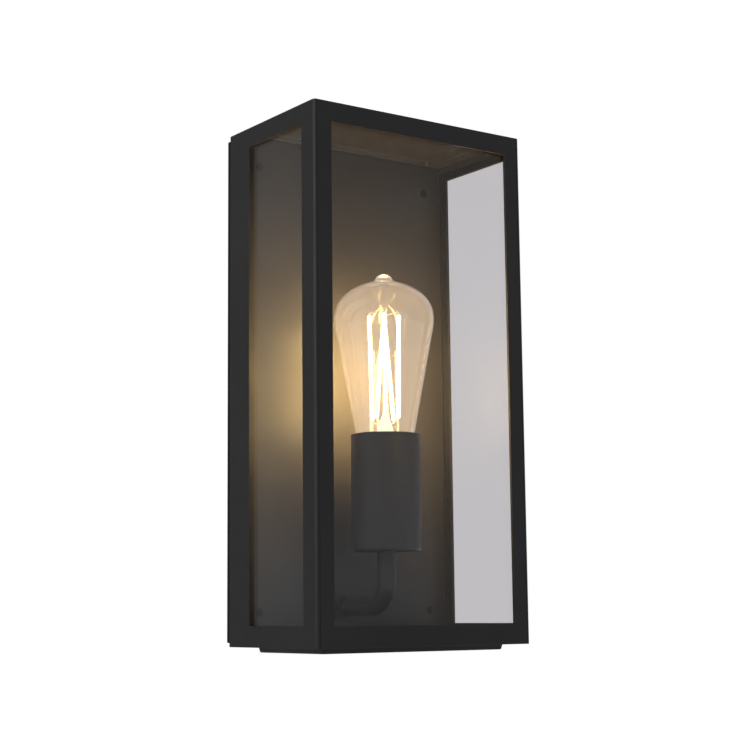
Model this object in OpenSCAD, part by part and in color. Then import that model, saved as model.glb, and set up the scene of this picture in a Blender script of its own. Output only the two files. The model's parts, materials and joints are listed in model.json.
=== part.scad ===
// Outdoor wall lantern: a glazed sheet-steel housing that slides forward off a
// wall tray, with a bent arm that carries an E27 lampholder and a filament lamp.
// Frame: +Z up, the wall is the plane y = 0, the lantern stands out along -Y,
// and the origin is the centre of the two wall screw holes.

/* [Housing] */
// Width of the housing across its side frames
body_w = 162; // [140:1:220]
// Height of the housing without its pressed pans
body_h = 330; // [275:1:420]
// Depth of the housing from its front face to its rear edge
body_d = 100; // [92:1:150]
// Thickness of the folded sheet
sheet_t = 1.5; // [1.2:0.1:2]
// Outside radius of the two vertical front corners
corner_r = 2.5; // [2.2:0.1:5]
// Joint between the front frame and each side frame
seam_gap = 0.15; // [0.1:0.05:0.5]
// Border around the front window
front_border = 12.7; // [10:0.1:25]
// Rear post of each side window
rear_post = 23.7; // [22:0.1:35]
// Front post of each side window
front_post = 14.5; // [12:0.1:25]
// Rail above each side window
top_rail = 12.5; // [10:0.1:25]
// Rail below each side window
bottom_rail = 13.1; // [10:0.1:25]
// Height of the pan pressed outward in the roof and in the base
pan_h = 3.4; // [1:0.1:6]
// Flat border beside and in front of the pan
pan_border = 11; // [8:0.5:20]
// Flat border behind the pan
pan_border_rear = 13; // [13:0.5:40]
// Width of the pan's sloping edge
pan_bevel = 2.4; // [1:0.1:3.2]
// Plan radius of the pan's corners
pan_r = 4; // [3.6:0.1:10]

/* [Glazing] */
// Thickness of the glass
glass_t = 3; // [2:0.5:4]
// Thickness of the black bonding tape between glass and frame
tape_t = 0.5; // [0.3:0.1:1]
// Width by which the glass laps the frame around a window
glass_lap = 5.5; // [4:0.5:7]
// Width of the bonding tape
tape_w = 5; // [3:0.5:5.5]

/* [Wall tray] */
// Thickness of the wall gasket, compressed
gasket_t = 5; // [3:0.5:8]
// Width of the gasket band
gasket_band = 12; // [8:1:16]
// Distance from the housing's rear edge to the back panel's front face
tray_d = 14; // [13:0.5:18]
// Sliding clearance between housing and tray, on each side
slide_gap = 0.5; // [0.3:0.1:1]
// Diameter of the wall screw holes
wall_hole_d = 5.5; // [4.5:0.1:7]
// Height between the two wall screw holes
wall_hole_span = 220; // [160:1:240]
// Outside diameter of the spacers at the wall screw holes
spacer_d = 14; // [11:0.5:18]
// Bore of the cable grommet
cable_d = 8.5; // [6:0.5:12]
// Distance of the corner screws from the housing's sides
screw_side = 15.5; // [13:0.5:25]
// Distance of the corner screws from the housing's top and bottom
screw_end = 21.5; // [15:0.5:35]

/* [Arm] */
// Outside diameter of the arm tube
arm_d = 12; // [11:0.5:14]
// Height of the arm's level part above the underside of the housing
arm_rise = 24.5; // [20:0.5:32]
// Bend radius of the arm's centreline
arm_bend = 17; // [14:0.5:17]
// Height of the cup's underside above the underside of the housing
cup_rise = 58.6; // [56:0.1:66]

/* [Lampholder] */
// Outside diameter of the lampholder cup
cup_d = 44; // [42:0.5:50]
// Height of the lampholder cup
cup_h = 74.2; // [72:0.1:78]
// Wall of the lampholder cup
cup_t = 1; // [0.8:0.1:1.5]
// Clearance around the porcelain lampholder in the cup
porcelain_gap = 2; // [1:0.5:3]

/* [Lamp] */
// Largest diameter of the glass bulb
bulb_d = 64; // [56:1:66]
// Length of the lamp from its contact to the tip of its glass
lamp_len = 142; // [136:1:150]
// Clearance around the glass at the cup's mouth
mouth_gap = 2.4; // [1:0.1:4]
// Wall of the glass bulb
bulb_t = 0.8; // [0.6:0.1:1.2]
// Mean radius of the lamp cap's rolled thread
cap_r = 12.6; // [12.4:0.05:12.7]
// Radial gap between the lamp cap and the threaded shell around it
thread_gap = 0.35; // [0.3:0.05:0.5]
// Number of light-emitting filaments
filaments = 4; // [4:1:8]

/* [Hidden] */
$fn = 64;
small = 32;
eps = 0.01;

paint_black = "#2b2b2e";
panel_black = "#3d3d41";
zinc = "#b9bcc0";
brass_col = "#c9a24a";
rubber_black = "#141414";

// Housing planes
half_w = body_w / 2;
half_h = body_h / 2;
rear_y = -gasket_t;
front_y = rear_y - body_d;
inner_x = half_w - sheet_t;
inner_z = half_h - sheet_t;
pane_y = front_y + sheet_t + tape_t;
pane_x = inner_x - tape_t;

// Wall tray and back panel
tray_w = body_w - 2 * (sheet_t + slide_gap);
tray_h = body_h - 2 * (sheet_t + slide_gap);
panel_face = rear_y - tray_d;
panel_rear = panel_face + sheet_t;
floor_y = rear_y - sheet_t;
screw_x = half_w - screw_side;
screw_z = half_h - screw_end;
m3 = 3;
m3_head = 5.8;
post_d = 7;

// Cable grommet, terminal block and earth stud, in the space behind the panel
grommet_neck = cable_d + 5;
grommet_flange = grommet_neck + 5;
grommet_lip = 1.8;
block_w = 30;
block_h = 18;
block_t = 9.5;
block_rise = 82.5;
pole_gap = 9;
barrel_d = 5;
barrel_bore = 2.6;
wire_d = 2;
wire_play = 0.2;
stud_rise = 56.5;
stud_x = -30;
stud_d = 4;
nut_t = 3;

// Arm and lampholder: the lamp's axis stands midway between panel and front frame
lamp_y = (panel_face + front_y + sheet_t) / 2;
arm_z = arm_rise - half_h;
block_z = arm_z + block_rise;
stud_z = arm_z + stud_rise;
cup_z = cup_rise - half_h;
cup_bore = cup_d - 2 * cup_t;
porcelain_d = cup_bore - 2 * porcelain_gap;
nipple_d = 10;
nipple_bore = 7.5;
nipple_len = 15;
nut_af = 14;
washer_t = 1;
bracket_z = cup_z + cup_t + nut_t + 0.5;
porcelain_z = bracket_z + sheet_t;
porcelain_top = cup_z + cup_h - 9.3;
wiring_h = 10;
socket_z = porcelain_z + 24.4;
shell_r = 13.9;
shell_seat = 0.1;

// Lamp
pitch = 3.628;
thread_depth = 0.5;
contact_z = socket_z + 6;
cap_foot = contact_z + 4;
skirt_z = cap_foot + 18.5;
shell_h = skirt_z - 0.5 - socket_z;
cap_top = skirt_z + 4;
skirt_r = 13.2;
cap_bore = 11.4;
neck_r = 11.3;
tip_z = contact_z + lamp_len;
bulb_r = bulb_d / 2;
mouth_z = cap_top + 11.3;
mouth_r = cup_bore / 2 - mouth_gap;
flank_top = tip_z - 42;
flank_r = 0.945 * bulb_r;
exhaust_r = 5.4;
widest_z = tip_z - 29;
filament_low = mouth_z + 8;
filament_high = tip_z - 25;
filament_d = 1.9;
ring_low = 10;
ring_high = 9.5;
filament_twist = 35;
filament_turn = 20;

// Lock screws in the base's rear border
lock_x = 50;
lock_y = rear_y - 7;
lock_d = 4;
bush_d = 8;
bush_neck = 6;
bush_h = 1.2;
knob_d = 11;
knob_h = 2;
knurls = 24;
tip_gap = 0.1;

// A plate standing across Y, centred on x = 0 and z = 0
module plate_y(w, h, y_low, t) {
    translate([-w / 2, y_low, -h / 2]) cube([w, t, h]);
}

// A rod from one point to another
module rod(a, b, d) {
    v = b - a;
    translate(a)
        rotate([0, acos(v.z / norm(v)), atan2(v.y, v.x)])
            cylinder(h = norm(v), d = d, $fn = 16);
}

// A cylinder along +Y from y_low
module bar_y(x, z, y_low, len, d) {
    translate([x, y_low, z]) rotate([-90, 0, 0]) cylinder(h = len, d = d);
}

module at_corners() {
    for (sx = [-1, 1]) for (sz = [-1, 1]) translate([sx * screw_x, 0, sz * screw_z]) children();
}

module at_locks() {
    for (sx = [-1, 1]) translate([sx * lock_x, lock_y, 0]) children();
}

module at_lamp() {
    translate([0, lamp_y, 0]) children();
}

// ---- Wall side ----

module wall_gasket() {
    w = body_w - 2;
    h = body_h - 5;
    color(rubber_black) difference() {
        plate_y(w, h, rear_y, gasket_t);
        plate_y(w - 2 * gasket_band, h - 2 * gasket_band, rear_y - eps, gasket_t + 2 * eps);
    }
}

module wall_spacers() {
    color(zinc) for (sz = [-1, 1]) difference() {
        bar_y(0, sz * wall_hole_span / 2, rear_y, gasket_t, spacer_d);
        bar_y(0, sz * wall_hole_span / 2, rear_y - 1, gasket_t + 2, wall_hole_d);
    }
}

module wall_tray() {
    color(zinc) difference() {
        plate_y(tray_w, tray_h, floor_y, sheet_t);
        for (sz = [-1, 1]) bar_y(0, sz * wall_hole_span / 2, floor_y - 1, sheet_t + 2, wall_hole_d);
        bar_y(0, 0, floor_y - 1, sheet_t + 2, grommet_neck);
        for (sx = [-1, 1]) bar_y(sx * pole_gap / 2, block_z, floor_y - 1, sheet_t + 2, m3);
    }
}

module tray_sides() {
    color(zinc) for (sx = [-1, 1]) translate([sx * (tray_w - sheet_t) / 2, 0, 0])
        plate_y(sheet_t, tray_h, panel_rear, floor_y - panel_rear);
}

module tray_ends() {
    color(zinc) for (sz = [-1, 1]) translate([0, 0, sz * (tray_h - sheet_t) / 2])
        plate_y(tray_w - 2 * sheet_t, sheet_t, panel_rear, floor_y - panel_rear);
}

module panel_posts() {
    color(zinc) at_corners() difference() {
        bar_y(0, 0, panel_rear, floor_y - panel_rear, post_d);
        bar_y(0, 0, panel_rear - 1, floor_y - panel_rear, m3);
    }
}

module back_panel() {
    color(panel_black) difference() {
        plate_y(tray_w, tray_h, panel_face, sheet_t);
        at_corners() {
            bar_y(0, 0, panel_face - 1, sheet_t + 2, m3);
            translate([0, panel_face, 0]) rotate([-90, 0, 0])
                cylinder(h = sheet_t, d1 = m3_head, d2 = m3);
        }
        bar_y(0, arm_z, panel_face - 1, sheet_t + 2, nipple_d);
    }
}

module panel_screws() {
    head = sheet_t;
    socket_af = 2;
    color(paint_black) at_corners() translate([0, panel_face, 0]) rotate([-90, 0, 0])
        difference() {
            union() {
                cylinder(h = head, d1 = m3_head, d2 = m3);
                cylinder(h = 8, d = m3);
            }
            translate([0, 0, -1]) cylinder(h = 2.1, d = socket_af / cos(30), $fn = 6);
        }
}

module cable_grommet() {
    color(rubber_black) difference() {
        union() {
            bar_y(0, 0, floor_y - grommet_lip, sheet_t + 2 * grommet_lip, grommet_neck);
            bar_y(0, 0, floor_y - grommet_lip, grommet_lip, grommet_flange);
            bar_y(0, 0, rear_y, grommet_lip, grommet_flange);
        }
        bar_y(0, 0, floor_y - grommet_lip - 1, sheet_t + 2 * grommet_lip + 2, cable_d);
    }
}

module terminal_block() {
    face = floor_y - block_t;
    color("ivory") difference() {
        union() {
            translate([-block_w / 2, face + 2, block_z - block_h / 2])
                cube([block_w, block_t - 2, block_h]);
            for (pole = [-1:1])
                translate([pole * pole_gap - 3.6, face, block_z - block_h / 2 + 1.5])
                    cube([7.2, 3, block_h - 3]);
        }
        for (pole = [-1:1]) {
            translate([pole * pole_gap, floor_y - 4.5, block_z - block_h / 2 - 1])
                cylinder(h = block_h + 2, d = barrel_d);
            for (sz = [-1, 1]) bar_y(pole * pole_gap, block_z + 4 * sz, face - 1, 4.5, 3.4);
        }
        for (sx = [-1, 1]) bar_y(sx * pole_gap / 2, block_z, face + 1, block_t, m3);
    }
}

module terminal_barrels() {
    color(brass_col) for (pole = [-1:1])
        translate([pole * pole_gap, floor_y - 4.5, block_z - block_h / 2 + 1]) difference() {
            cylinder(h = block_h - 2, d = barrel_d);
            translate([0, 0, -1]) cylinder(h = block_h, d = barrel_bore);
        }
}

module terminal_screws() {
    face = floor_y - block_t;
    color(zinc) for (pole = [-1:1]) for (sz = [-1, 1])
        difference() {
            bar_y(pole * pole_gap, block_z + 4 * sz, face + 0.8, 1.7, 3.2);
            translate([pole * pole_gap - 2, face + 0.7, block_z + 4 * sz - 0.3])
                cube([4, 0.7, 0.6]);
        }
}

module block_screws() {
    face = floor_y - block_t + 2;
    color(zinc) for (sx = [-1, 1]) {
        bar_y(sx * pole_gap / 2, block_z, face, rear_y - face, m3);
        bar_y(sx * pole_gap / 2, block_z, face - 1.2, 1.2, 1.75);
    }
}

module earth_stud() {
    color(zinc) bar_y(stud_x, stud_z, floor_y - 9, 9, stud_d);
}

module earth_lug() {
    color(zinc) difference() {
        union() {
            bar_y(stud_x, stud_z, floor_y - 0.8, 0.8, 9);
            translate([stud_x, floor_y - 0.8, stud_z - 2.2]) cube([11, 0.8, 4.4]);
            translate([stud_x + 7, floor_y - 0.4 - wire_d / 2, stud_z]) rotate([0, 90, 0])
                cylinder(h = 6, d = wire_d + 1.6);
        }
        bar_y(stud_x, stud_z, floor_y - 2, 4, stud_d);
        translate([stud_x + 9, floor_y - 0.4 - wire_d / 2, stud_z]) rotate([0, 90, 0])
            cylinder(h = 6, d = wire_d + wire_play);
        translate([stud_x, floor_y, stud_z - 5]) cube([20, 5, 10]);
    }
}

module earth_nut() {
    color(zinc) translate([stud_x, floor_y - 0.8 - nut_t, stud_z]) rotate([-90, 0, 0])
        difference() {
            cylinder(h = nut_t, d = 7 / cos(30), $fn = 6);
            translate([0, 0, -1]) cylinder(h = nut_t + 2, d = stud_d);
        }
}

// ---- Internal leads: a round wire swept along a smooth curve through its route ----

function unit(v) = v / norm(v);
function blend(a, b, c, d, t) =
    0.5 * (2 * b + (c - a) * t + (2 * a - 5 * b + 4 * c - d) * t * t
        + (3 * b - a - 3 * c + d) * t * t * t);
function smooth(p, steps) = concat(
    [for (i = [0:len(p) - 2]) for (k = [0:steps - 1])
        blend(p[max(i - 1, 0)], p[i], p[i + 1], p[min(i + 2, len(p) - 1)], k / steps)],
    [p[len(p) - 1]]);
function tangents(p) = [for (i = [0:len(p) - 1])
    unit(p[min(i + 1, len(p) - 1)] - p[max(i - 1, 0)])];
function square_to(u, t) = unit(u - (u * t) * t);
function normals(t, u, i = 0) = i == len(t) ? [] :
    let (n = square_to(u, t[i])) concat([n], normals(t, n, i + 1));

module swept(route, start_normal, d, steps = 4, sides = 8) {
    path = smooth(route, steps);
    t = tangents(path);
    n = normals(t, start_normal);
    rings = len(path);
    last = (rings - 1) * sides;
    points = [for (i = [0:rings - 1]) for (k = [0:sides - 1])
        path[i] + d / 2 * (cos(360 * k / sides) * n[i]
            + sin(360 * k / sides) * cross(t[i], n[i]))];
    skin = [for (i = [0:rings - 2]) for (k = [0:sides - 1])
        let (a = i * sides + k, b = i * sides + (k + 1) % sides)
            [[a, a + sides, b], [b, a + sides, b + sides]]];
    polyhedron(
        points = points,
        faces = concat(
            [for (pair = skin) pair[0]],
            [for (pair = skin) pair[1]],
            [[for (k = [0:sides - 1]) k]],
            [[for (k = [sides - 1:-1:0]) last + k]]));
}

// Route of the live lead (side = 1) or the neutral lead (side = -1)
function lamp_route(side) = [
    [side * pole_gap, floor_y - 4.5, block_z - block_h / 2 + 6],
    [side * pole_gap, floor_y - 4.5, block_z - block_h / 2 - 4],
    [side * 6, floor_y - 4.5, arm_z + 48],
    [side * 2.4, floor_y - 4, arm_z + 20],
    [side * 1.7, floor_y - 2.6, arm_z + 7],
    [side * 1.7, floor_y - 5, arm_z + 1.2],
    [side * 1.7, panel_face, arm_z],
    [side * 1.7, lamp_y + arm_bend + 4, arm_z],
    [side * 1.7, lamp_y + 0.62 * arm_bend, arm_z + 0.08 * arm_bend],
    [side * 1.7, lamp_y + 0.29 * arm_bend, arm_z + 0.29 * arm_bend],
    [side * 1.7, lamp_y + 0.08 * arm_bend, arm_z + 0.62 * arm_bend],
    [side * 1.7, lamp_y, arm_z + arm_bend + 4],
    [side * 1.7, lamp_y, bracket_z - 3],
    [side * 2, lamp_y, porcelain_z],
    [side * 3.4, lamp_y, porcelain_z + 4],
    [side * 6.5, lamp_y, porcelain_z + 5.5]
];

module lead_live() {
    color("saddlebrown") swept(lamp_route(1), [1, 0, 0], wire_d);
}

module lead_neutral() {
    color("steelblue") swept(lamp_route(-1), [1, 0, 0], wire_d);
}

module lead_earth() {
    wire_y = floor_y - 0.4 - wire_d / 2;
    color("yellowgreen") swept([
        [0, floor_y - 4.5, block_z - block_h / 2 + 6],
        [0, floor_y - 4.5, block_z - block_h / 2 - 4],
        [-1.5, wire_y - 1, stud_z + 7],
        [-6, wire_y, stud_z + 1.5],
        [-13, wire_y, stud_z],
        [stud_x + 9.5, wire_y, stud_z]
    ], [0, 1, 0], wire_d);
}

// ---- Arm and lampholder ----

module arm_tube() {
    bore = nipple_d;
    color(paint_black) {
        difference() {
            bar_y(0, arm_z, lamp_y + arm_bend, panel_face - lamp_y - arm_bend, arm_d);
            bar_y(0, arm_z, lamp_y + arm_bend - 1, panel_face - lamp_y, bore);
        }
        translate([0, lamp_y + arm_bend, arm_z + arm_bend]) rotate([0, -90, 0]) rotate([0, 0, 180])
            rotate_extrude(angle = 90) translate([arm_bend, 0]) difference() {
                circle(d = arm_d);
                circle(d = bore);
            }
        at_lamp() difference() {
            translate([0, 0, arm_z + arm_bend])
                cylinder(h = cup_z - arm_z - arm_bend, d = arm_d);
            translate([0, 0, arm_z + arm_bend - 1]) cylinder(h = cup_z - arm_z, d = bore);
        }
    }
}

module nipple() {
    difference() {
        cylinder(h = nipple_len, d = nipple_d);
        translate([0, 0, -1]) cylinder(h = nipple_len + 2, d = nipple_bore);
    }
}

module arm_nipples() {
    color(zinc) {
        translate([0, panel_rear + nut_t + washer_t + 1, arm_z]) rotate([90, 0, 0]) nipple();
        at_lamp() translate([0, 0, porcelain_z + 1 - nipple_len]) nipple();
    }
}

module arm_washer() {
    color(zinc) difference() {
        bar_y(0, arm_z, panel_rear, washer_t, 18);
        bar_y(0, arm_z, panel_rear - 1, washer_t + 2, nipple_d);
    }
}

module thin_nut() {
    difference() {
        cylinder(h = nut_t, d = nut_af / cos(30), $fn = 6);
        translate([0, 0, -1]) cylinder(h = nut_t + 2, d = nipple_d);
    }
}

module arm_nuts() {
    color(zinc) {
        translate([0, panel_rear + washer_t, arm_z]) rotate([-90, 0, 0]) thin_nut();
        at_lamp() translate([0, 0, cup_z + cup_t]) thin_nut();
    }
}

module holder_cup() {
    r = cup_d / 2;
    edge = 2;
    color(paint_black) at_lamp() translate([0, 0, cup_z]) rotate_extrude(angle = 360) difference() {
        union() {
            translate([0, edge]) square([r, cup_h - edge - cup_t / 2]);
            square([r - edge, edge]);
            intersection() {
                translate([r - edge, edge]) circle(r = edge, $fn = small);
                translate([r - edge, 0]) square(edge);
            }
            translate([r - cup_t / 2, cup_h - cup_t / 2]) circle(d = cup_t, $fn = small);
        }
        translate([-1, cup_t]) square([cup_bore / 2 + 1, cup_h]);
        translate([-1, -1]) square([nipple_d / 2 + 1, cup_t + 2]);
    }
}

module holder_bracket() {
    color(zinc) at_lamp() translate([0, 0, bracket_z]) difference() {
        cylinder(h = sheet_t, d = porcelain_d - 4);
        translate([0, 0, -1]) cylinder(h = sheet_t + 2, d = nipple_d);
        for (sy = [-1, 1]) translate([0, sy * 14, -1]) cylinder(h = sheet_t + 2, d = m3);
    }
}

module holder_screws() {
    color(zinc) at_lamp() for (sy = [-1, 1]) translate([0, sy * 14, 0]) {
        translate([0, 0, bracket_z - 1.6]) cylinder(h = 1.6, d = 5);
        translate([0, 0, bracket_z]) cylinder(h = sheet_t + 6, d = m3);
    }
}

module holder_porcelain() {
    color("white") at_lamp() difference() {
        translate([0, 0, porcelain_z]) cylinder(h = porcelain_top - porcelain_z, d = porcelain_d);
        translate([0, 0, porcelain_z - 1]) cylinder(h = wiring_h + 1, r = 12);
        translate([0, 0, socket_z]) cylinder(h = shell_h + 20, r = shell_r + shell_seat);
        for (sy = [-1, 1]) translate([0, sy * 14, porcelain_z - 1]) cylinder(h = 7, d = m3);
    }
}

module holder_terminals() {
    color(brass_col) at_lamp() for (sx = [-1, 1])
        translate([sx * 8.8, 0, porcelain_z + 2.5]) difference() {
            translate([-2.3, -2.5, 0]) cube([4.6, 5, wiring_h - 2.5]);
            translate([-3, 0, 3]) rotate([0, 90, 0]) cylinder(h = 6, d = wire_d + wire_play);
        }
}

// A turned solid whose rows run once around its outline; a row with an
// amplitude follows the lamp thread's helix
module threaded_ring(rows, sides) {
    n = len(rows);
    points = [for (row = rows) for (k = [0:sides - 1])
        let (a = 360 * k / sides,
            r = row[1] + row[2] * cos(360 * (row[0] - cap_foot) / pitch - a))
            [r * cos(a), r * sin(a), row[0]]];
    cells = [for (i = [0:n - 1]) for (k = [0:sides - 1])
        let (a = i * sides + k, b = i * sides + (k + 1) % sides,
            c = (i + 1) % n * sides + k, d = (i + 1) % n * sides + (k + 1) % sides)
            [[a, c, b], [b, c, d]]];
    polyhedron(
        points = points,
        faces = concat([for (cell = cells) cell[0]], [for (cell = cells) cell[1]]));
}

function thread_rows(low, high, r, per_pitch) =
    let (n = ceil((high - low) * per_pitch / pitch))
        [for (i = [0:n]) [low + (high - low) * i / n, r, thread_depth]];
function reverse_rows(rows) = [for (i = [len(rows) - 1:-1:0]) rows[i]];

module holder_shell() {
    low = socket_z;
    high = socket_z + shell_h;
    inner = reverse_rows(thread_rows(low, high, cap_r + thread_gap, 6));
    color(brass_col) at_lamp()
        threaded_ring(concat([[low, shell_r, 0], [high, shell_r, 0]], inner), 30);
}

module holder_contact() {
    strip = 0.5;
    rise = contact_z - socket_z - 0.1;
    color(brass_col) at_lamp() translate([-2.5, 0, socket_z]) rotate([90, 0, 90])
        linear_extrude(height = 5) polygon([
            [-8, 0], [-8, strip], [-4, strip], [-2, rise], [4, rise],
            [4, rise - strip], [-1.6, rise - strip], [-3.6, 0]
        ]);
}

// ---- Lamp ----

module lamp_insulator() {
    color("#1c1c20") at_lamp() translate([0, 0, contact_z + 1])
        cylinder(h = cap_foot - contact_z - 1.1, r1 = 5.6, r2 = cap_r - thread_depth - 0.2);
}

module lamp_contact() {
    color(zinc) at_lamp() translate([0, 0, contact_z]) cylinder(h = 1, r1 = 3.9, r2 = 4.8);
}

module lamp_cap() {
    color(zinc) at_lamp() threaded_ring(concat(
        thread_rows(cap_foot, skirt_z, cap_r, 6),
        [[skirt_z + 0.5, skirt_r, 0], [cap_top, skirt_r, 0],
            [cap_top, cap_bore, 0], [cap_foot, cap_bore, 0]]), 30);
}

module lamp_driver() {
    color("seagreen") at_lamp() translate([0, 0, cap_foot + 2]) {
        cylinder(h = 1.2, r = neck_r);
        translate([-5, -4, 1.2]) cube([10, 8, 8]);
    }
}

function bezier(p, n) = [for (i = [0:n]) let (t = i / n, s = 1 - t)
    s * s * s * p[0] + 3 * s * s * t * p[1] + 3 * s * t * t * p[2] + t * t * t * p[3]];

// Outer outline of the glass, from its neck to its tip
function glass_outline() = concat(
    [[neck_r, cap_top - 6.5], [neck_r, cap_top - 0.5]],
    bezier([[neck_r, cap_top], [neck_r + 2.2, cap_top + 2.5],
        [mouth_r - 1.3, mouth_z - 5.5], [mouth_r, mouth_z]], 8),
    bezier([[flank_r, flank_top], [flank_r + 0.9, flank_top + 4.7],
        [bulb_r, widest_z - 6], [bulb_r, widest_z]], 6),
    bezier([[bulb_r, widest_z + 1], [bulb_r, widest_z + 10.5],
        [bulb_r * 0.8, tip_z - 12.2], [bulb_r * 0.5, tip_z - 8]], 10),
    bezier([[bulb_r * 0.4, tip_z - 6.9], [exhaust_r + 3.2, tip_z - 5.8],
        [exhaust_r + 1.8, tip_z - 5], [exhaust_r + 1.2, tip_z - 4.4]], 5),
    bezier([[exhaust_r + 0.9, tip_z - 4.1], [exhaust_r, tip_z - 3.2],
        [exhaust_r - 0.5, tip_z - 1.1], [exhaust_r - 2.8, tip_z - 0.3]], 6));

module lamp_glass() {
    outer = glass_outline();
    inner_top = tip_z - 6.2;
    inner = [for (p = outer) if (p.y < tip_z - 7.5) [p.x - bulb_t, min(p.y, inner_top)]];
    color([0.95, 0.85, 0.65, 0.3]) at_lamp() rotate_extrude(angle = 360) polygon(concat(
        outer,
        [[0, tip_z], [0, inner_top - 0.6], [bulb_r * 0.3, inner_top - 1.6]],
        [for (i = [len(inner) - 1:-1:0]) inner[i]]));
}

module lamp_stem() {
    top = filament_high - 1;
    color([0.9, 0.92, 0.95, 0.5]) at_lamp() rotate_extrude(angle = 360) polygon([
        [0, cap_top - 6], [neck_r - bulb_t, cap_top - 6], [neck_r - bulb_t - 1.8, cap_top - 3],
        [6.2, cap_top + 3], [5.6, mouth_z], [3.2, mouth_z + 9], [1.4, mouth_z + 14],
        [1.2, top - 4], [1.9, top - 2], [1.9, top], [0, top + 1]
    ]);
}

function ring_point(i, high) = let (
    a = 360 * i / filaments + filament_turn + (high ? filament_twist : 0),
    r = high ? ring_high : ring_low)
        [r * cos(a), lamp_y + r * sin(a), high ? filament_high : filament_low];

module lamp_filaments() {
    color("gold") for (i = [0:filaments - 1]) {
        low = ring_point(i, false);
        high = ring_point(i, true);
        rod(low + 0.03 * (high - low), high - 0.03 * (high - low), filament_d);
    }
}

// Support wires: each runs out of the stem, then turns along its filament
module support_wire(ring, far, hub_z, hub_r) {
    axis = [0, lamp_y, hub_z];
    out = unit([ring.x, ring.y - lamp_y, 0]);
    along = unit(far - ring);
    swept([axis + hub_r * out, axis + 0.5 * (ring - axis) + [0, 0, 0.1 * (ring.z - hub_z)],
        ring - 0.4 * out, ring + 2.4 * along], [0, 0, 1], 0.6, 3, 6);
}

module lamp_wires() {
    color(zinc) for (i = [0:filaments - 1]) {
        low = ring_point(i, false);
        high = ring_point(i, true);
        support_wire(low, high, mouth_z + 4, 2.6);
        support_wire(high, low, filament_high - 2, 1.2);
    }
}

// ---- Housing ----

module front_frame() {
    w = body_w - 2 * (corner_r + seam_gap);
    color(paint_black) difference() {
        plate_y(w, body_h, front_y, sheet_t);
        plate_y(body_w - 2 * front_border, body_h - 2 * front_border, front_y - 1, sheet_t + 2);
    }
}

// Right side frame, with its front edge bent inward around the corner
module side_frame() {
    window_y = front_y + front_post;
    window_z = bottom_rail - half_h;
    color(paint_black) difference() {
        translate([0, 0, -half_h]) linear_extrude(height = body_h) {
            translate([inner_x, front_y + corner_r]) square([sheet_t, body_d - corner_r]);
            intersection() {
                translate([half_w - corner_r, front_y + corner_r]) difference() {
                    circle(r = corner_r);
                    circle(r = corner_r - sheet_t);
                }
                translate([half_w - corner_r, front_y]) square(corner_r);
            }
        }
        translate([inner_x - 1, window_y, window_z])
            cube([sheet_t + 2, body_d - front_post - rear_post, body_h - top_rail - bottom_rail]);
    }
}

module side_frame_left() {
    mirror([1, 0, 0]) side_frame();
}

module side_frame_right() {
    side_frame();
}

// Slab with a rounded plan at its two front corners, from z = 0 up
module cover_plan(t) {
    r = corner_r - sheet_t;
    y0 = front_y + sheet_t;
    linear_extrude(height = t) {
        translate([-inner_x, y0 + r]) square([2 * inner_x, rear_y - y0 - r]);
        translate([-inner_x + r, y0]) square([2 * (inner_x - r), r + eps]);
        for (sx = [-1, 1]) translate([sx * (inner_x - r), y0 + r]) circle(r = r, $fn = small);
    }
}

// Solid pan that narrows upward, with its corner radius changed by inset
module pan_body(inset, h) {
    x = half_w - pan_border - pan_r;
    y0 = front_y + pan_border + pan_r;
    y1 = rear_y - pan_border_rear - pan_r;
    hull() for (px = [-x, x]) for (py = [y0, y1]) translate([px, py, 0])
        cylinder(h = h, r1 = pan_r - inset, r2 = pan_r - pan_bevel - inset, $fn = small);
}

// Roof pressing: a flat cover with a shallow pan pressed outward
module pressed_cover() {
    wall = 0.6 * sheet_t;
    translate([0, 0, inner_z]) difference() {
        union() {
            cover_plan(sheet_t);
            translate([0, 0, sheet_t]) pan_body(0, pan_h);
        }
        translate([0, 0, -eps]) pan_body(wall, pan_h + eps);
    }
}

module roof_panel() {
    color(paint_black) pressed_cover();
}

module base_panel() {
    color(paint_black) difference() {
        mirror([0, 0, 1]) pressed_cover();
        at_locks() translate([0, 0, -half_h - 1]) cylinder(h = sheet_t + 2, d = bush_neck);
    }
}

front_pane_w = min(body_w - 2 * (front_border - glass_lap), 2 * pane_x - 1);
front_pane_h = body_h - 2 * (front_border - glass_lap);
side_pane_y0 = front_y + front_post - glass_lap;
side_pane_y1 = rear_y - rear_post + glass_lap;
side_pane_z0 = bottom_rail - glass_lap - half_h;
side_pane_z1 = half_h - top_rail + glass_lap;

module glass_front() {
    color([0.8, 0.9, 0.9, 0.25]) plate_y(front_pane_w, front_pane_h, pane_y, glass_t);
}

module side_slab(grow, x_low, t) {
    translate([x_low, side_pane_y0 - grow, side_pane_z0 - grow])
        cube([t, side_pane_y1 - side_pane_y0 + 2 * grow, side_pane_z1 - side_pane_z0 + 2 * grow]);
}

module glass_right() {
    color([0.8, 0.9, 0.9, 0.25]) side_slab(0, pane_x - glass_t, glass_t);
}

module glass_left() {
    mirror([1, 0, 0]) glass_right();
}

module tape_front() {
    color(rubber_black) difference() {
        plate_y(front_pane_w, front_pane_h, pane_y - tape_t, tape_t);
        plate_y(front_pane_w - 2 * tape_w, front_pane_h - 2 * tape_w, pane_y - 1, 2);
    }
}

module tape_right() {
    color(rubber_black) difference() {
        side_slab(0, pane_x, tape_t);
        side_slab(-tape_w, pane_x - 1, tape_t + 2);
    }
}

module tape_left() {
    mirror([1, 0, 0]) tape_right();
}

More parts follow.
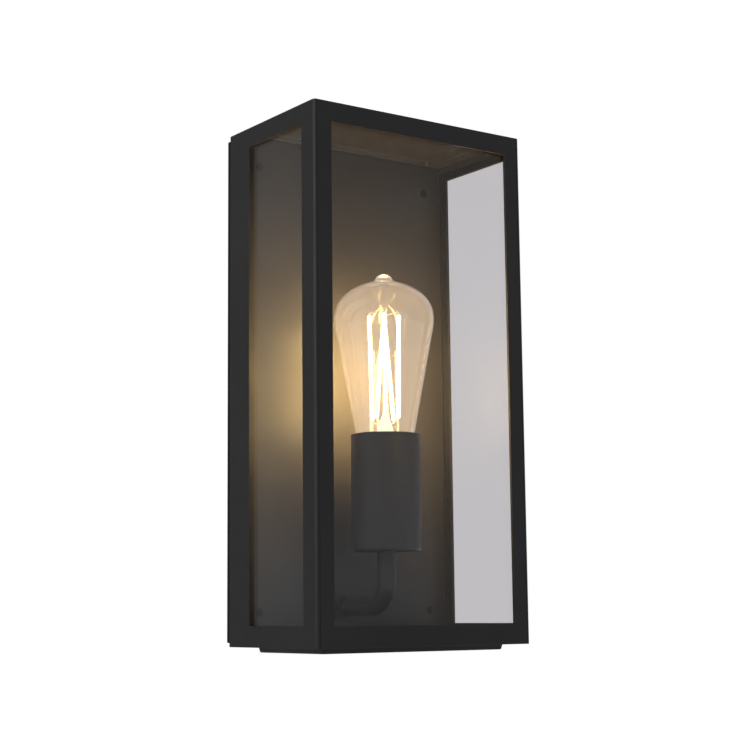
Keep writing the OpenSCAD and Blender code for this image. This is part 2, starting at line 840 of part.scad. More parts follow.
module lock_bushes() {
    color(zinc) at_locks() difference() {
        union() {
            translate([0, 0, -half_h - bush_h]) cylinder(h = bush_h, d = bush_d);
            translate([0, 0, -half_h]) cylinder(h = sheet_t, d = bush_neck);
        }
        translate([0, 0, -half_h - bush_h - 1]) cylinder(h = bush_h + sheet_t + 2, d = lock_d);
    }
}

module lock_screws() {
    head_z = -half_h - bush_h - knob_h;
    tip_z = -tray_h / 2 - tip_gap;
    color(zinc) at_locks() {
        translate([0, 0, head_z]) linear_extrude(height = knob_h) difference() {
            circle(d = knob_d);
            for (k = [0:knurls - 1]) rotate(360 * k / knurls)
                translate([knob_d / 2, 0]) rotate(45) square(0.7, center = true);
        }
        translate([0, 0, head_z + knob_h]) cylinder(h = tip_z - head_z - knob_h, d = lock_d);
    }
}

wall_gasket();
wall_spacers();
wall_tray();
tray_sides();
tray_ends();
panel_posts();
back_panel();
panel_screws();
cable_grommet();
terminal_block();
terminal_barrels();
terminal_screws();
block_screws();
earth_stud();
earth_lug();
earth_nut();
lead_live();
lead_neutral();
lead_earth();
arm_tube();
arm_nipples();
arm_washer();
arm_nuts();
holder_cup();
holder_bracket();
holder_screws();
holder_porcelain();
holder_terminals();
holder_shell();
holder_contact();
lamp_insulator();
lamp_contact();
lamp_cap();
lamp_driver();
lamp_glass();
lamp_stem();
lamp_filaments();
lamp_wires();
front_frame();
side_frame_left();
side_frame_right();
roof_panel();
base_panel();
glass_front();
glass_left();
glass_right();
tape_front();
tape_left();
tape_right();
lock_bushes();
lock_screws();
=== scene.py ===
"""Looks of the outdoor wall lantern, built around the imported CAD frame. Metres, +Z up, wall at y = 0."""

import json
import math

import bmesh
import bpy
from mathutils import Matrix, Vector


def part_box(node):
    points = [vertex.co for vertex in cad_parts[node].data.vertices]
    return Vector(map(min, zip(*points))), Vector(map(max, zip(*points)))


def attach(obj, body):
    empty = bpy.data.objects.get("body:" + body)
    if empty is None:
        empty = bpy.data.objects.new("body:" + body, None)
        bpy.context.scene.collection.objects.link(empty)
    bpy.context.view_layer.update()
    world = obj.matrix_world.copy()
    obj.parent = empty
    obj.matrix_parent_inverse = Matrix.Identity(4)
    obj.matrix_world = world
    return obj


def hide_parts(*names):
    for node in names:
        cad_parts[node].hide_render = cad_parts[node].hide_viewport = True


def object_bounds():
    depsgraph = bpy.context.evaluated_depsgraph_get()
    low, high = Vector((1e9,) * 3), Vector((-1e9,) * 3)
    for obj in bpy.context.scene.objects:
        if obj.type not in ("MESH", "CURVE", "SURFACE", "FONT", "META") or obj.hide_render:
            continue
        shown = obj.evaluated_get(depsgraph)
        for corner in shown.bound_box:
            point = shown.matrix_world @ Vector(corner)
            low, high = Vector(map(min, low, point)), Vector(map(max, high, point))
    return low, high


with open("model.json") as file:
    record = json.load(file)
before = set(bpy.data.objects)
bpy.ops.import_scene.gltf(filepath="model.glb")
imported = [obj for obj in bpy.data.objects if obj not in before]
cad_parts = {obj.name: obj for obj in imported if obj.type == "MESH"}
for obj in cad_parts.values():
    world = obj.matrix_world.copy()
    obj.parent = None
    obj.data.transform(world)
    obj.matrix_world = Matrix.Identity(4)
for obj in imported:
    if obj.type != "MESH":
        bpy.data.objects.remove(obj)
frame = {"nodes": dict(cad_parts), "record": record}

cad_low, cad_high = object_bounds()
MM = 0.001
SLOT_OF = {s["node"]: s["material_slot"] for s in frame["record"]["subparts"]}


# ---- Camera ----

def look(position, yaw, pitch, roll, lens):
    """A camera at position that looks along yaw and pitch; all angles in degrees."""
    y, p, r = (math.radians(a) for a in (yaw, pitch, roll))
    ahead = Vector((math.sin(y) * math.cos(p), math.cos(y) * math.cos(p), math.sin(p)))
    level = Vector((math.cos(y), -math.sin(y), 0))
    up = level.cross(ahead)
    right = math.cos(r) * level + math.sin(r) * up
    top = math.cos(r) * up - math.sin(r) * level
    data = bpy.data.cameras.new("camera")
    data.lens = lens
    data.sensor_width = 36
    camera = bpy.data.objects.new("camera", data)
    bpy.context.scene.collection.objects.link(camera)
    turn = Matrix((right, top, -ahead)).transposed().to_4x4()
    camera.matrix_world = Matrix.Translation(position) @ turn
    bpy.context.scene.camera = camera


look(Vector((-0.616, -0.9188, -0.1435)), yaw=35.22, pitch=8.26, roll=-0.58, lens=80.8)
bpy.context.scene.view_settings.view_transform = "Standard"


# ---- Node helpers ----

class Nodes:
    """The node tree of a material or a world, with short calls for the nodes it uses."""

    def __init__(self, owner, output="ShaderNodeOutputMaterial"):
        self.owner = owner
        owner.use_nodes = True
        self.tree = owner.node_tree
        self.tree.nodes.clear()
        self.out = self.tree.nodes.new(output)

    def add(self, kind, inputs=None, **settings):
        """A new node; inputs maps its sockets to values or to other nodes' outputs."""
        node = self.tree.nodes.new(kind)
        for key, value in settings.items():
            setattr(node, key, value)
        for key, value in (inputs or {}).items():
            if isinstance(value, bpy.types.NodeSocket):
                self.tree.links.new(value, node.inputs[key])
            else:
                node.inputs[key].default_value = value
        return node

    def where(self):
        """The place on the piece, in its own metres."""
        return self.add("ShaderNodeTexCoord").outputs["Object"]

    def noise(self, scale, detail=4, rough=0.55, stretch=(1, 1, 1)):
        """A noise texture; scale is its features per metre."""
        place = self.add("ShaderNodeMapping", {"Vector": self.where(), "Scale": stretch})
        return self.add("ShaderNodeTexNoise", {
            "Vector": place.outputs["Vector"], "Scale": scale, "Detail": detail,
            "Roughness": rough}).outputs["Fac"]

    def spread(self, value, low, high, start=0.35, end=0.65):
        """Maps value from start..end to low..high."""
        return self.add("ShaderNodeMapRange", {
            "Value": value, "From Min": start, "From Max": end,
            "To Min": low, "To Max": high}).outputs["Result"]

    def mix(self, factor, first, second):
        """First colour where factor is 0, second where it is 1."""
        # Of this node's sockets, inputs 6 and 7 and output 2 are the colours.
        node = self.add("ShaderNodeMix", data_type="RGBA")
        self.tree.links.new(factor, node.inputs[0])
        node.inputs[6].default_value = (*first, 1)
        node.inputs[7].default_value = (*second, 1)
        return node.outputs[2]

    def blend(self, factor, first, second):
        """First shader where factor is 0, second where it is 1."""
        node = self.add("ShaderNodeMixShader", {"Fac": factor})
        self.tree.links.new(first, node.inputs[1])
        self.tree.links.new(second, node.inputs[2])
        return node.outputs[0]

    def bump(self, height, strength, distance, below=None):
        """A bumped normal; below is a coarser one that it lies on."""
        inputs = {"Height": height, "Strength": strength, "Distance": distance}
        if below is not None:
            inputs["Normal"] = below
        return self.add("ShaderNodeBump", inputs).outputs["Normal"]

    def principled(self, **inputs):
        """The main surface shader; an input's spaces are underscores here."""
        names = {k.replace("_", " "): v for k, v in inputs.items()}
        return self.add("ShaderNodeBsdfPrincipled", names).outputs["BSDF"]

    def combine(self, operation, first, second):
        """One number from two."""
        return self.add("ShaderNodeMath", {0: first, 1: second}, operation=operation).outputs["Value"]

    def background(self, colour, strength):
        """Light from all round, for a world."""
        return self.add("ShaderNodeBackground", {
            "Color": (*colour, 1), "Strength": strength}).outputs["Background"]

    def surface(self, shader):
        """Makes shader the result, and gives back the material or world."""
        self.tree.links.new(shader, self.out.inputs["Surface"])
        return self.owner


def material_nodes(name):
    """The nodes of a new material."""
    return Nodes(bpy.data.materials.new(name))


def powder_coat(name, dark, light, rough, grain):
    """Fine-textured satin powder coat: a close grain over a softer orange peel."""
    m = material_nodes(name)
    peel = m.noise(900, 2, 0.5)
    fine = m.noise(4200, 3, 0.6)
    cloud = m.noise(14, 3)
    colour = m.mix(m.spread(cloud, 0, 1, 0.3, 0.7), dark, light)
    normal = m.bump(fine, grain, 0.03 * MM, m.bump(peel, grain * 0.8, 0.08 * MM))
    roughness = m.spread(m.noise(60, 4), rough - 0.05, rough + 0.06)
    return m.surface(m.principled(
        Base_Color=colour, Roughness=roughness, Normal=normal, IOR=1.5))


def metal(name, dark, light, rough):
    """Plated or drawn metal with a fine grain in faint patches."""
    m = material_nodes(name)
    grain = m.noise(700, 5, 0.6)
    patch = m.noise(30, 3)
    colour = m.mix(m.spread(patch, 0, 1), dark, light)
    roughness = m.spread(grain, rough - 0.08, rough + 0.1)
    return m.surface(m.principled(
        Base_Color=colour, Metallic=1.0, Roughness=roughness,
        Normal=m.bump(grain, 0.15, 0.02 * MM)))


def foam(name):
    """Closed-cell foam: small pits on black."""
    m = material_nodes(name)
    cells = m.add("ShaderNodeTexVoronoi", {"Vector": m.where(), "Scale": 1500.0}).outputs["Distance"]
    colour = m.mix(m.spread(m.noise(60), 0, 1), (0.005, 0.005, 0.005), (0.011, 0.011, 0.0115))
    return m.surface(m.principled(
        Base_Color=colour, Roughness=m.spread(cells, 0.75, 0.95, 0, 0.6),
        Normal=m.bump(cells, 0.7, 0.3 * MM)))


def plastic(name, dark, light, rough, grain=1800, depth=0.03 * MM):
    """A plain surface with a fine grain: plastic, tape, wire insulation, porcelain, blackened steel."""
    m = material_nodes(name)
    fine = m.noise(grain, 3)
    colour = m.mix(m.spread(m.noise(50, 3), 0, 1), dark, light)
    return m.surface(m.principled(
        Base_Color=colour, Roughness=m.spread(fine, rough - 0.06, rough + 0.08),
        Normal=m.bump(fine, 0.35, depth)))


def clear(name, tint, ior, glow=0.0, glow_colour=(1, 1, 1)):
    """Glass that lets lamps through, with a faint waviness and, round a lit lamp, a painted glow: the
    glass gives off warm light of its own in place of light scattered from the strips.
    """
    m = material_nodes(name)
    wave = m.noise(9, 1)
    colour = m.mix(m.spread(m.noise(9, 2), 0, 1), tint, tuple(min(1, c + 0.012) for c in tint))
    # glow is painted light: emission on glass that is itself no lamp.
    glass = m.principled(
        Base_Color=colour, Transmission_Weight=1.0, Roughness=0.0, IOR=ior,
        Emission_Color=(*glow_colour, 1), Emission_Strength=glow, Normal=m.bump(wave, 0.03, 0.1 * MM))
    shadow_ray = m.add("ShaderNodeLightPath").outputs["Is Shadow Ray"]
    lamps = m.add("ShaderNodeBsdfTransparent", {"Color": (*tint, 1)}).outputs["BSDF"]
    return m.surface(m.blend(shadow_ray, glass, lamps))


def glowing(name, colour, strength):
    """Phosphor-coated light strips."""
    m = material_nodes(name)
    beads = m.noise(900, 2, 0.5, (1, 1, 0.35))
    tone = m.mix(m.spread(beads, 0, 1), colour, tuple(min(1, c * 1.15) for c in colour))
    return m.surface(m.principled(
        Base_Color=tone, Roughness=0.5, Emission_Color=tone, Emission_Strength=strength))


# The maker of each look, and the maker's values after the name.
LOOKS = {
    "black_paint": (powder_coat, (0.0178, 0.0174, 0.0184), (0.0232, 0.0226, 0.0238), 0.42, 0.14),
    # Cup and arm: the black paint made lighter and a little rougher. This is partly a matte finish of
    # their own and partly painted light for how brightly the round cup is lit.
    "holder_paint_with_painted_light": (powder_coat, (0.029, 0.0287, 0.0312), (0.036, 0.0356, 0.0385), 0.46, 0.16),
    "panel_paint": (powder_coat, (0.026, 0.026, 0.029), (0.033, 0.033, 0.0365), 0.36, 0.03),
    "black_oxide": (plastic, (0.004, 0.004, 0.005), (0.008, 0.008, 0.009), 0.4),
    "zinc_steel": (metal, (0.56, 0.57, 0.59), (0.63, 0.64, 0.66), 0.36),
    "brass": (metal, (0.6, 0.43, 0.17), (0.78, 0.6, 0.3), 0.26),
    "seal_rubber": (foam,),
    "bond_tape": (plastic, (0.006, 0.006, 0.006), (0.012, 0.012, 0.012), 0.6),
    "clear_glass": (clear, (0.975, 0.966, 0.974), 1.5),
    # The bulb's glass and its stem glow a little: painted glow that stands in for light from the strips
    # scattered in the glass.
    "lamp_glass": (clear, (0.985, 0.955, 0.89), 1.48, 0.1, (1.0, 0.8, 0.6)),
    "stem_glass": (clear, (0.99, 0.98, 0.95), 1.48, 0.5, (1.0, 0.82, 0.55)),
    "porcelain": (plastic, (0.74, 0.73, 0.68), (0.84, 0.83, 0.79), 0.16, 500, 0.02 * MM),
    "lamp_filament": (glowing, (1.0, 0.72, 0.34), 90.0),
    "lamp_insulator": (plastic, (0.01, 0.01, 0.014), (0.02, 0.02, 0.026), 0.1),
    "circuit_board": (plastic, (0.02, 0.12, 0.05), (0.04, 0.18, 0.08), 0.45),
    "block_plastic": (plastic, (0.66, 0.64, 0.56), (0.75, 0.73, 0.66), 0.42),
    "wire_brown": (plastic, (0.16, 0.06, 0.02), (0.22, 0.09, 0.035), 0.38),
    "wire_blue": (plastic, (0.03, 0.13, 0.42), (0.05, 0.18, 0.5), 0.38),
    "wire_earth": (plastic, (0.22, 0.42, 0.04), (0.62, 0.6, 0.06), 0.38),
}
MATERIALS = {name: make(name, *values) for name, (make, *values) in LOOKS.items()}


# ---- Pieces ----

STANDS_FOR = set()


def add_piece(node, mesh, body, material):
    """Links a mesh as the piece that stands for one CAD node and rides on body."""
    piece = bpy.data.objects.new("lantern_" + node, mesh)
    bpy.context.scene.collection.objects.link(piece)
    mesh.materials.clear()
    mesh.materials.append(MATERIALS[material])
    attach(piece, body)
    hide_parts(node)
    STANDS_FOR.add(node)
    return piece


def bevel(piece, width, segments=2, angle=35):
    """Rounds the edges that are sharper than angle."""
    step = piece.modifiers.new("edges", "BEVEL")
    step.width = width
    step.segments = segments
    step.limit_method = "ANGLE"
    step.angle_limit = math.radians(angle)
    step.harden_normals = True
    step.miter_outer = "MITER_ARC"


# ---- Shapes ----

def marks(node, axis, keep=lambda point: True):
    """The distinct places of a CAD node's corners along one axis, in order."""
    points = [v.co for v in frame["nodes"][node].data.vertices]
    places = sorted(p[axis] for p in points if keep(p))
    return [p for i, p in enumerate(places) if i == 0 or p - places[i - 1] > 0.01 * MM]


def mesh_from(points, faces, name, smooth=None):
    """A mesh with outward faces; smooth is the crease angle in degrees, or none for flat."""
    mesh = bpy.data.meshes.new(name)
    mesh.from_pydata(points, [], faces)
    shape = bmesh.new()
    shape.from_mesh(mesh)
    bmesh.ops.recalc_face_normals(shape, faces=shape.faces)
    if smooth:
        limit = math.radians(smooth)
        for face in shape.faces:
            face.smooth = True
        for line in shape.edges:
            line.smooth = line.calc_face_angle(0) < limit
    shape.to_mesh(mesh)
    shape.free()
    return mesh


def sheet(stations, levels, name, gap=None, smooth=None):
    """A sheet that follows (outer, inner) plan points and rises through levels; gap is an open cell."""
    columns, rows = len(stations) - 1, len(levels) - 1
    solid = {(i, j) for i in range(columns) for j in range(rows)} - {gap}
    index, points, faces = {}, [], []

    def corner(i, j, side):
        if (i, j, side) not in index:
            index[i, j, side] = len(points)
            points.append((*stations[i][side], levels[j]))
        return index[i, j, side]

    for i, j in sorted(solid):
        ring = [(i, j), (i + 1, j), (i + 1, j + 1), (i, j + 1)]
        beside = [(i, j - 1), (i + 1, j), (i, j + 1), (i - 1, j)]
        for side in (0, 1):
            faces.append([corner(a, b, side) for a, b in ring])
        for k, cell in enumerate(beside):
            if cell not in solid:
                a, b = ring[k], ring[(k + 1) % 4]
                faces.append([corner(*a, 0), corner(*b, 0), corner(*b, 1), corner(*a, 1)])
    return mesh_from(points, faces, name, smooth)


def flat_sheet(node, normal):
    """A CAD node that is a flat plate or a flat ring across one axis, on a clean grid."""
    low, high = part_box(node)
    along = 1 - normal
    stations = []
    for place in marks(node, along):
        pair = []
        for face in (low[normal], high[normal]):
            point = [face, face]
            point[along] = place
            pair.append(tuple(point))
        stations.append(pair)
    gap = (1, 1) if len(stations) == 4 else None
    return sheet(stations, marks(node, 2), node, gap)


def loft(rings, name, smooth=40, closed=False):
    """Joins rings of equal length; a ring of one point is a pole, and open ends are capped."""
    points, rows, faces = [], [], []
    for ring in rings:
        rows.append(list(range(len(points), len(points) + len(ring))))
        points.extend(ring)
    pairs = list(zip(rows, rows[1:]))
    if closed:
        pairs.append((rows[-1], rows[0]))
    for first, second in pairs:
        n = max(len(first), len(second))
        for k in range(n):
            quad = [first[k % len(first)], first[(k + 1) % n % len(first)],
                    second[(k + 1) % n % len(second)], second[k % len(second)]]
            faces.append(list(dict.fromkeys(quad)))
    if not closed:
        faces.extend(row for row in (rows[0], rows[-1]) if len(row) > 2)
    return mesh_from(points, faces, name, smooth)


def turned(rows, centre, name, sides=48, axis=2, smooth=40, closed=False):
    """A lathe shape: rows of (radius, height) in mm round an axis through centre; a radius may
    be a function of the angle."""
    rings = []
    for radius, height in rows:
        ring = []
        for k in range(sides):
            angle = 2 * math.pi * k / sides
            r = (radius(angle) if callable(radius) else radius) * MM
            u, v, w = r * math.cos(angle), r * math.sin(angle), height * MM
            ring.append(centre + (Vector((u, v, w)) if axis == 2 else Vector((u, w, -v))))
        rings.append(ring[:1] if radius == 0 else ring)
    return loft(rings, name, smooth, closed)


def hexagon(across):
    """Radius of a hexagon, by its width across the flats."""
    return lambda angle: across / 2 / math.cos((angle % (math.pi / 3)) - math.pi / 6)


def joined(meshes, name):
    """Several meshes as one."""
    shape = bmesh.new()
    for mesh in meshes:
        shape.from_mesh(mesh)
    result = bpy.data.meshes.new(name)
    shape.to_mesh(result)
    shape.free()
    return result


def tube(path, radius, name, sides=16, bore=0):
    """A round rod or tube along a path of points, all in metres."""
    across = Vector((1, 0, 0))
    places = []
    for i, point in enumerate(path):
        ahead = (path[min(i + 1, len(path) - 1)] - path[max(i - 1, 0)]).normalized()
        across = (across - across.dot(ahead) * ahead).normalized()
        places.append((point, across, ahead.cross(across)))

    def ring(place, r):
        point, a, b = place
        return [point + r * (math.cos(2 * math.pi * k / sides) * a
                             + math.sin(2 * math.pi * k / sides) * b) for k in range(sides)]

    rings = [ring(place, radius) for place in places]
    if bore:
        rings += [ring(place, bore) for place in reversed(places)]
    return loft(rings, name, 40, bool(bore))


def curve(start, first, second, end, steps):
    """Points along a cubic curve, without its start."""
    result = []
    for i in range(1, steps + 1):
        t = i / steps
        s = 1 - t
        result.append(tuple(s * s * s * a + 3 * s * s * t * b + 3 * s * t * t * c + t * t * t * d
                            for a, b, c, d in zip(start, first, second, end)))
    return result


def mid(node):
    """The middle of a CAD node's box."""
    low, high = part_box(node)
    return (low + high) / 2


# ---- Housing ----

# The thickness of the sheet metal, and the corners of the box round the two side frames.
sheet_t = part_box("front_frame")[1].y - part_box("front_frame")[0].y
house_low, house_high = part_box("side_frame_left")[0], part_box("side_frame_right")[1]


def side_sheet(node, sign):
    """A side frame: a glazed sheet whose front edge is bent round the corner."""
    low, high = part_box(node)
    levels = marks(node, 2)
    bend = high.x - low.x
    face = high.x if sign > 0 else low.x
    window = marks(node, 1, lambda p: levels[1] - MM < p.z < levels[2] + MM)
    stations = [((face, y), (face - sign * sheet_t, y))
                for y in (high.y, window[-1], window[0], low.y + bend)]
    for step in range(1, 9):
        a = math.radians(90 * step / 8)
        pair = []
        for r in (bend, bend - sheet_t):
            pair.append((face - sign * (bend - r * math.cos(a)), low.y + bend - r * math.sin(a)))
        stations.append(tuple(pair))
    return sheet(stations, levels, node, (1, 1), 30)


def rounded_plan(x, y0, y1, front_r, rear_r, z, steps=8):
    """A rectangle from -x to x and from y0 to y1, with its own radius at front and rear."""
    ring = []
    for cx, cy, r, turn in ((x, y1, rear_r, 0), (-x, y1, rear_r, 90),
                            (-x, y0, front_r, 180), (x, y0, front_r, 270)):
        sx, sy = math.copysign(1, cx), (1 if cy == y1 else -1)
        for k in range(steps + 1):
            a = math.radians(turn + 90 * k / steps)
            ring.append(Vector((cx - sx * r + r * math.cos(a), cy - sy * r + r * math.sin(a), z)))
    return ring


def pressed_cover(node, up):
    """Roof or base: a flat flange, and a pan pressed outward with soft folds."""
    low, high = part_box(node)
    top = high.z if up > 0 else low.z
    pan_h, slope, pan_r = 3.4 * MM, 2.4 * MM, 4 * MM
    border, rear_border = 11 * MM, 13 * MM
    front_r, rear_r, least_r = 1 * MM, 0.3 * MM, 0.2 * MM
    pan_x, pan_y0, pan_y1 = house_high.x - border, house_low.y + border, high.y - rear_border
    outside = top - up * pan_h
    inside = outside - up * sheet_t
    fold = [(0, 0), (0.12, 0.015), (0.25, 0.07), (0.38, 0.2), (0.5, 0.5), (0.62, 0.8),
            (0.75, 0.93), (0.88, 0.985), (1, 1)]

    def edge(inset, z):
        return rounded_plan(high.x - inset, low.y + inset, high.y - inset,
                            max(front_r - inset, least_r), rear_r, z)

    def pan(share, rise, z, shrink):
        d = share * slope + shrink
        r = max(pan_r - d, 0.4 * MM)
        return rounded_plan(pan_x - d, pan_y0 + d, pan_y1 - d, r, r, z + up * rise * pan_h)

    rings = [pan(share, rise, outside, 0) for share, rise in reversed(fold)]
    rim = [(0.25 * MM, 0), (0.07 * MM, 0.07 * MM), (0, 0.25 * MM)]
    rings += [edge(inset, outside - up * drop) for inset, drop in rim]
    rings += [edge(inset, inside + up * drop) for inset, drop in reversed(rim)]
    rings += [pan(share, rise, inside, 0.9 * MM) for share, rise in fold]
    return loft(rings, node, 50)


def knurl(radius):
    """A knurled radius in mm: 24 shallow grooves round a thumb screw."""
    return lambda angle: radius - 0.32 * max(0.0, math.cos(24 * angle)) ** 3


def lock_places(z):
    """Where the two thumb screws go through the base, at height z."""
    bush_r = 4 * MM
    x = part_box("lock_bushes")[1].x - bush_r
    return [Vector((sign * x, mid("lock_bushes").y, z)) for sign in (-1, 1)]


def lock_bushes():
    """Threaded bushes, pressed into the base."""
    rows = [(2, 0), (3.7, 0), (4, 0.3), (4, 1.2), (3, 1.2), (3, 2.7), (2, 2.7)]
    places = lock_places(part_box("lock_bushes")[0].z)
    return joined([turned(rows, place, "bush", 48, closed=True) for place in places], "lock_bushes")


def lock_screws():
    """Thumb screws with a knurled head."""
    low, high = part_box("lock_screws")
    end = (high.z - low.z) / MM
    rows = [(0, 0.5), (2.6, 0.5), (3.1, 0.2), (4.6, 0), (5, 0.06), (knurl(5.4), 0.3), (knurl(5.5), 0.5),
            (knurl(5.5), 1.5), (knurl(5.3), 1.85), (4.8, 2), (2.05, 2), (1.95, 2.4),
            (1.95, end - 0.5), (1.4, end), (0, end)]
    screws = [turned(rows, place, "thumb_screw", 192, smooth=32) for place in lock_places(low.z)]
    return joined(screws, "lock_screws")


for name, normal in (("front_frame", 1), ("glass_front", 1), ("tape_front", 1), ("glass_left", 0),
                     ("glass_right", 0), ("tape_left", 0), ("tape_right", 0)):
    piece = add_piece(name, flat_sheet(name, normal), "housing", SLOT_OF[name])
    bevel(piece, 0.05 * MM if "tape" in name else 0.3 * MM)
for name, sign in (("side_frame_left", -1), ("side_frame_right", 1)):
    bevel(add_piece(name, side_sheet(name, sign), "housing", "black_paint"), 0.25 * MM, angle=40)
for name, up in (("roof_panel", 1), ("base_panel", -1)):
    add_piece(name, pressed_cover(name, up), "housing", "black_paint")
add_piece("lock_bushes", lock_bushes(), "housing", "zinc_steel")
add_piece("lock_screws", lock_screws(), "housing", "zinc_steel")


# ---- Wall side ----

def wall_spacers():
    """Two thick washers that keep the tray off the wall."""
    low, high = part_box("wall_spacers")
    spacer_r = 7 * MM
    rows = [(2.75, 0), (6.7, 0), (7, 0.3), (7, 4.7), (6.7, 5), (2.75, 5)]
    rings = [turned(rows, Vector((0, low.y, z)), "spacer", 48, 1, closed=True)
             for z in (low.z + spacer_r, high.z - spacer_r)]
    return joined(rings, "wall_spacers")


def cable_grommet():
    """A rubber ring with a groove for the edge of the tray's cable hole."""
    rows = [(4.25, 0.5), (4.75, 0), (8.6, 0), (9.25, 0.6), (9.25, 1.3), (8.9, 1.8), (6.75, 1.8),
            (6.75, 3.3), (8.9, 3.3), (9.25, 3.8), (9.25, 4.5), (8.6, 5.1), (4.75, 5.1), (4.25, 4.6)]
    place = Vector((0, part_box("cable_grommet")[0].y, 0))
    return turned(rows, place, "cable_grommet", 64, 1, closed=True)


def panel_places(y):
    """Where the back panel's four screws are, at depth y."""
    low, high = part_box("panel_screws")
    head_r = 2.9 * MM
    return [Vector((x, y, z)) for x in (low.x + head_r, high.x - head_r)
            for z in (low.z + head_r, high.z - head_r)]


def panel_screws():
    """Countersunk screws with a hexagon socket."""
    key = hexagon(2)
    rows = [(0, 1.1), (key, 1.1), (key, 0.05), (2.6, 0.03), (2.82, 0.12), (1.55, 1.45),
            (1.45, 1.6), (1.45, 7.7), (1.2, 8), (0, 8)]
    places = panel_places(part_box("panel_screws")[0].y)
    return joined([turned(rows, place, "screw", 48, 1, 30) for place in places], "panel_screws")


def panel_posts():
    """The tubes behind the back panel that take its screws."""
    low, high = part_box("panel_posts")
    end = (high.y - low.y) / MM
    rows = [(1.5, 0), (3.3, 0), (3.5, 0.2), (3.5, end), (1.5, end)]
    posts = [turned(rows, place, "post", 32, 1, closed=True) for place in panel_places(low.y)]
    return joined(posts, "panel_posts")


gasket = add_piece("wall_gasket", flat_sheet("wall_gasket", 1), "wall_side", "seal_rubber")
bevel(gasket, 0.7 * MM, segments=3)
add_piece("wall_spacers", wall_spacers(), "wall_side", "zinc_steel")
add_piece("cable_grommet", cable_grommet(), "wall_side", "seal_rubber")
add_piece("panel_screws", panel_screws(), "wall_side", "black_oxide")
add_piece("panel_posts", panel_posts(), "wall_side", "zinc_steel")


# ---- Arm and lampholder ----

axis = Vector((0, mid("holder_cup").y, 0))
cap_low, cap_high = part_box("lamp_cap")
THREAD_PITCH = 3.628  # mm, seven turns to the inch


def foot_of(node):
    """The lowest point of a round upright CAD node, on the lamp's axis."""
    return axis + Vector((0, 0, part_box(node)[0].z))


def span(node):
    """Height and radius of a round upright CAD node, in mm."""
    low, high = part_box(node)
    return (high.z - low.z) / MM, (high.x - low.x) / 2 / MM


def thread(mean, start, end, base):
    """Rows of a rolled lamp thread round a mean radius, from start to end in mm above base."""
    rows_per_turn, half_depth = 12, 0.5
    count = round((end - start) * rows_per_turn / THREAD_PITCH)

    def row(height):
        phase = 2 * math.pi * (base + height - cap_low.z / MM) / THREAD_PITCH
        return lambda angle: mean + half_depth * math.cos(phase - angle)

    heights = [start + (end - start) * i / count for i in range(count + 1)]
    return [(row(height), height) for height in heights]


def arm_tube():
    """A tube that comes out of the back panel and bends up to the cup."""
    low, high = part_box("arm_tube")
    arm_r, bore_r, bend = 6 * MM, 5 * MM, 17 * MM
    elbow = Vector((0, axis.y + bend, low.z + arm_r + bend))
    route = [Vector((0, high.y, elbow.z - bend))]
    for step in range(25):
        a = math.radians(90 * step / 24)
        route.append(elbow + bend * Vector((0, -math.sin(a), -math.cos(a))))
    route.append(Vector((0, axis.y, high.z)))
    return tube(route, arm_r, "arm_tube", 48, bore_r)


def holder_cup():
    """The painted cup, with a rounded foot and a rolled rim."""
    h, r = span("holder_cup")
    turns = [math.radians(d) for d in range(0, 91, 15)]
    rows = [(5, 0)] + [(r - 2 + 2 * math.sin(a), 2 - 2 * math.cos(a)) for a in turns]
    rows += [(r, h - 0.5), (r - 0.15, h - 0.12), (r - 0.5, h), (r - 0.85, h - 0.12), (r - 1, h - 0.5),
             (r - 1, 2.2), (r - 1.5, 1.2), (r - 2.4, 1), (5, 1)]
    return turned(rows, foot_of("holder_cup"), "holder_cup", 128, closed=True)


def holder_porcelain():
    """The porcelain body, hollow below and open above for the threaded shell."""
    h, r = span("holder_porcelain")
    seat = (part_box("holder_shell")[0].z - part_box("holder_porcelain")[0].z) / MM
    rows = [(0, 10), (12, 10), (12, 0), (r - 0.6, 0), (r, 0.6), (r, h - 1.6), (r - 0.5, h - 0.5),
            (r - 1.6, h), (15.2, h), (14.2, h - 0.8), (14, h - 1.5), (14, seat), (0, seat)]
    return turned(rows, foot_of("holder_porcelain"), "holder_porcelain", 96)


def holder_shell():
    """The brass shell, threaded inside."""
    h, _ = span("holder_shell")
    inside = thread(12.95, 0, h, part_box("holder_shell")[0].z / MM)
    rows = [(13.9, 0), (13.9, h)] + inside[::-1]
    return turned(rows, foot_of("holder_shell"), "holder_shell", 96, closed=True)


def arm_nuts():
    """One nut on the washer behind the back panel, and one inside the cup."""
    nut_h = 3
    rows = [(5, 0), (6.4, 0), (hexagon(14), 0.5), (hexagon(14), 2.5), (6.4, nut_h), (5, nut_h)]
    behind = Vector((0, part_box("arm_washer")[1].y, mid("arm_washer").z))
    above = axis + Vector((0, 0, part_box("arm_nuts")[1].z - nut_h * MM))
    nuts = [turned(rows, behind, "nut", 48, 1, 30, True), turned(rows, above, "nut", 48, 2, 30, True)]
    return joined(nuts, "arm_nuts")


add_piece("arm_tube", arm_tube(), "wall_side", "holder_paint_with_painted_light")
add_piece("holder_cup", holder_cup(), "wall_side", "holder_paint_with_painted_light")
add_piece("holder_porcelain", holder_porcelain(), "wall_side", "porcelain")
add_piece("holder_shell", holder_shell(), "wall_side", "brass")
add_piece("arm_nuts", arm_nuts(), "wall_side", "zinc_steel")


# ---- Lamp ----

# Heights in mm of the cap's top, the flare's end above it, the bulb's tip, the strips' ends and the
# stem's top, then the radius of the bulb's neck and the thickness of its wall.
cap_top = cap_high.z / MM
mouth = cap_top + 11.3
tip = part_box("lamp_glass")[1].z / MM
strip_low, strip_high = mouth + 8, tip - 25
stem_top = tip - 26
neck_r, wall = 11.3, 0.8


